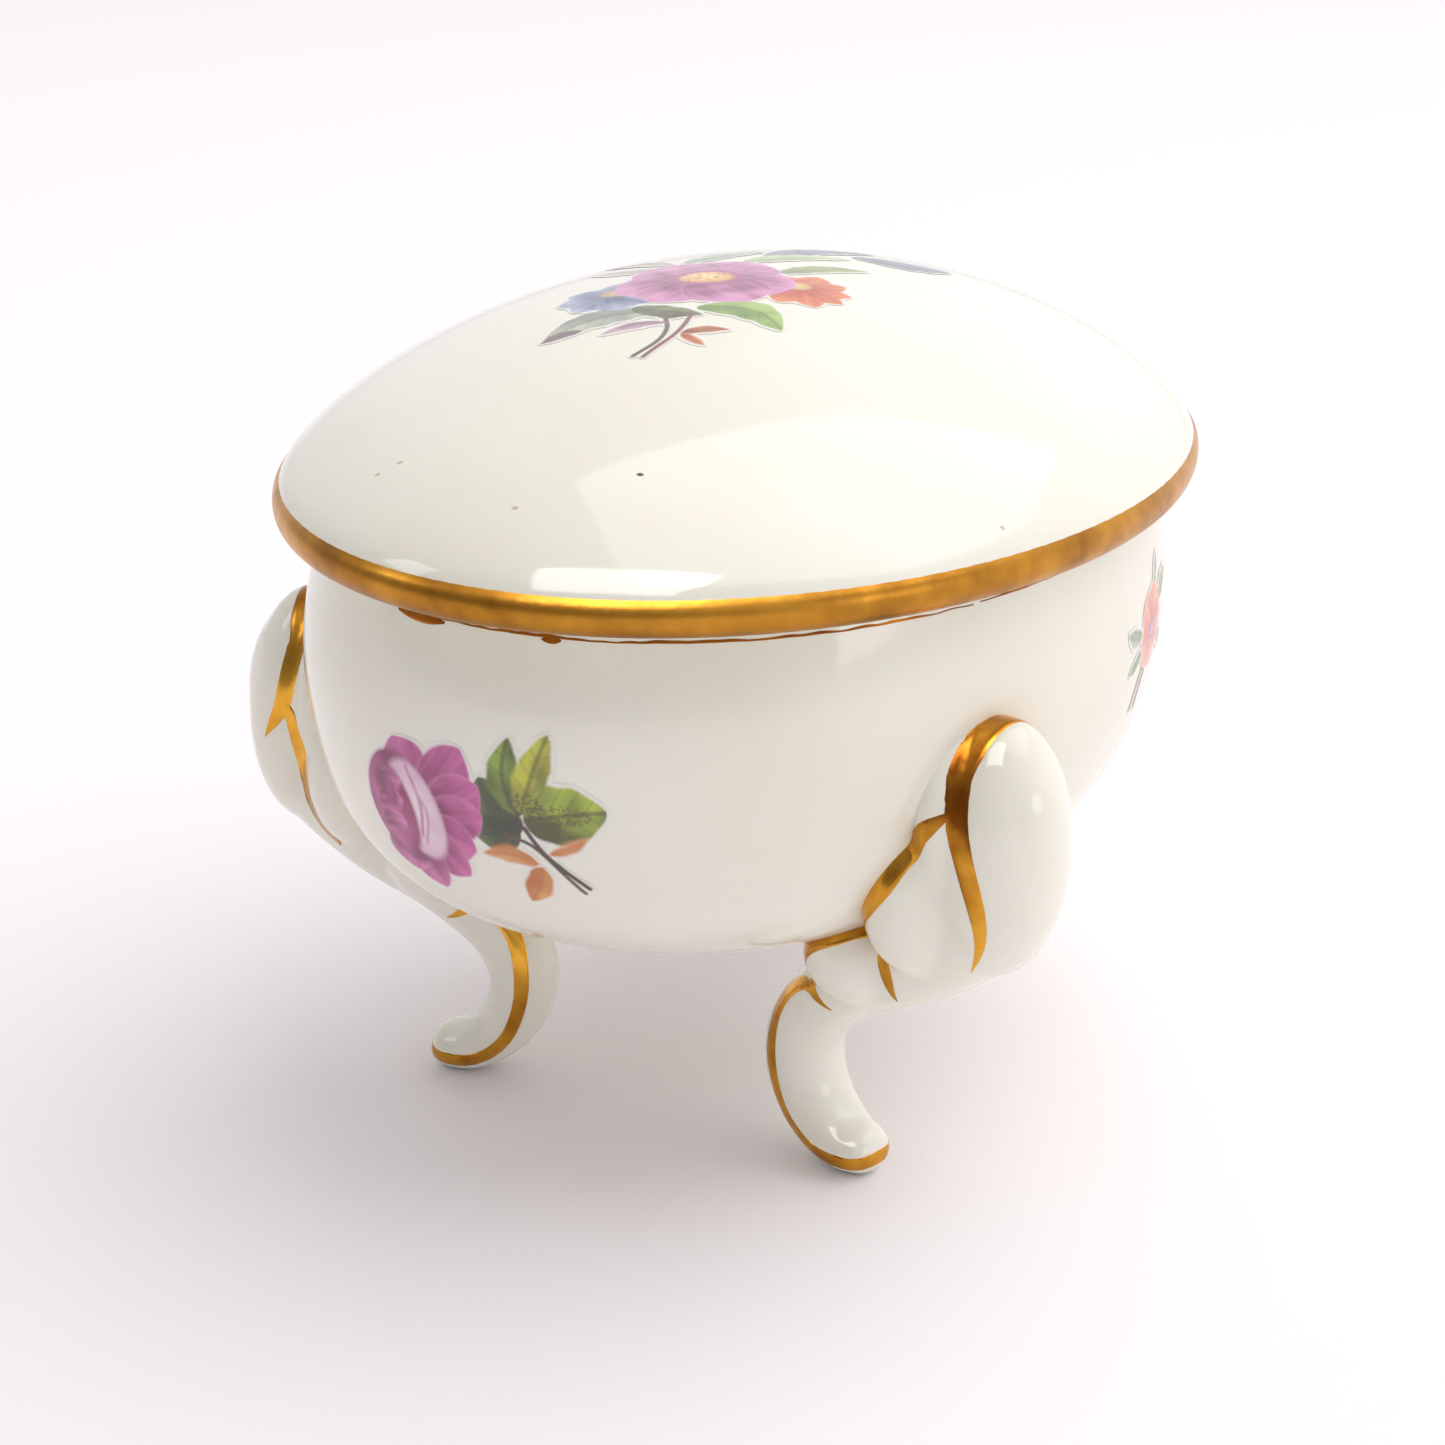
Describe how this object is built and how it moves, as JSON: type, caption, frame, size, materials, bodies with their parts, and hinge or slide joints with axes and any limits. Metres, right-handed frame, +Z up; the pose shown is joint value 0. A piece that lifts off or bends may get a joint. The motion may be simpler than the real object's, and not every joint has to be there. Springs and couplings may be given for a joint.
{
  "type": "porcelain trinket box",
  "caption": "Footed oval porcelain trinket box with gilt scroll legs, floral decals and a low domed lid that lifts off.",
  "frame": {"origin": "middle of the box's footprint, on the table under its three feet", "axes": "+Z up; the oval's long axis along Y, its front, between the two side legs, at -Y; the single back leg at +Y; +X to the right seen from the front"},
  "size_m": [0.0768, 0.1044, 0.0728],
  "materials": {
    "porcelain": "glossy clear glaze over white porcelain",
    "gilding": "burnished gold fired on the glaze",
    "decal": "coloured enamel transfer under a soft gloss"
  },
  "bodies": {
    "base": {"bowl": "porcelain", "leg_right": "porcelain", "leg_left": "porcelain", "leg_back": "porcelain", "bowl_rim_gold_line": "gilding"},
    "lid": {"lid": "porcelain", "lid_gold_band": "gilding"}
  },
  "joints": [
    {"name": "lid_lift", "type": "slide", "parent": "base", "child": "lid", "axis": [0, 0, 1], "range_m": [0, 0.05]}
  ]
}
